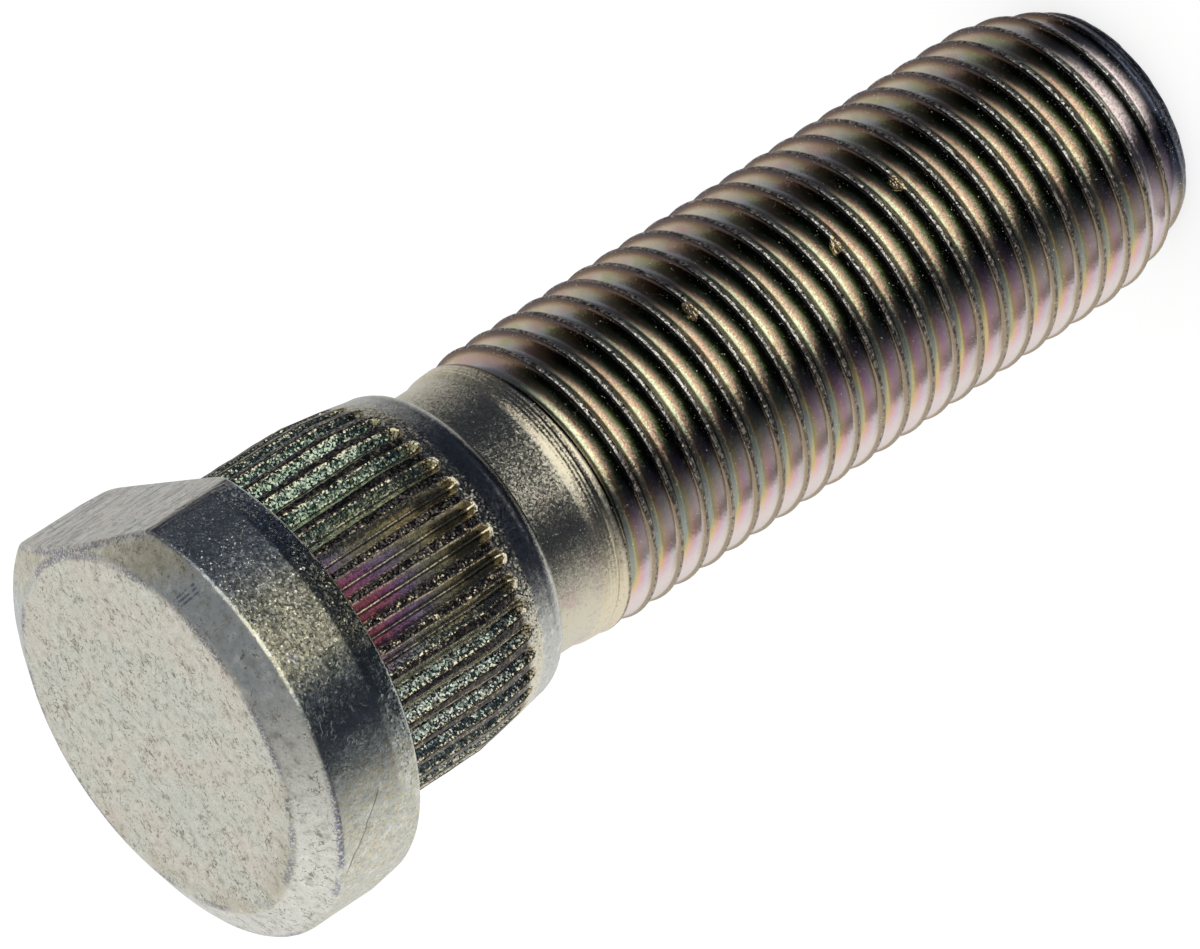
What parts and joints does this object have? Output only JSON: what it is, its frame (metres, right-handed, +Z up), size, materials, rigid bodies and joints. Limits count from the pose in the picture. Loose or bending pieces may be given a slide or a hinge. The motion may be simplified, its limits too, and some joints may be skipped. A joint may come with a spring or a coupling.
{
  "type": "wheel stud",
  "caption": "Press-in wheel stud: flanged head with a clipped side, serrated collar, plain neck and a fine-threaded shank; holds a road wheel to its hub with a nut.",
  "frame": {"origin": "centre of the flat threaded end, which the stud stands on", "axes": "+Z up the axis from the threaded end to the head; +X square to the clipped side of the head"},
  "size_m": [0.0193, 0.0208, 0.0558],
  "materials": {
    "plated_steel": "zinc plated, with a satin yellow iridescent film"
  },
  "bodies": {
    "root": {"wheel_stud": "plated_steel"}
  },
  "joints": []
}
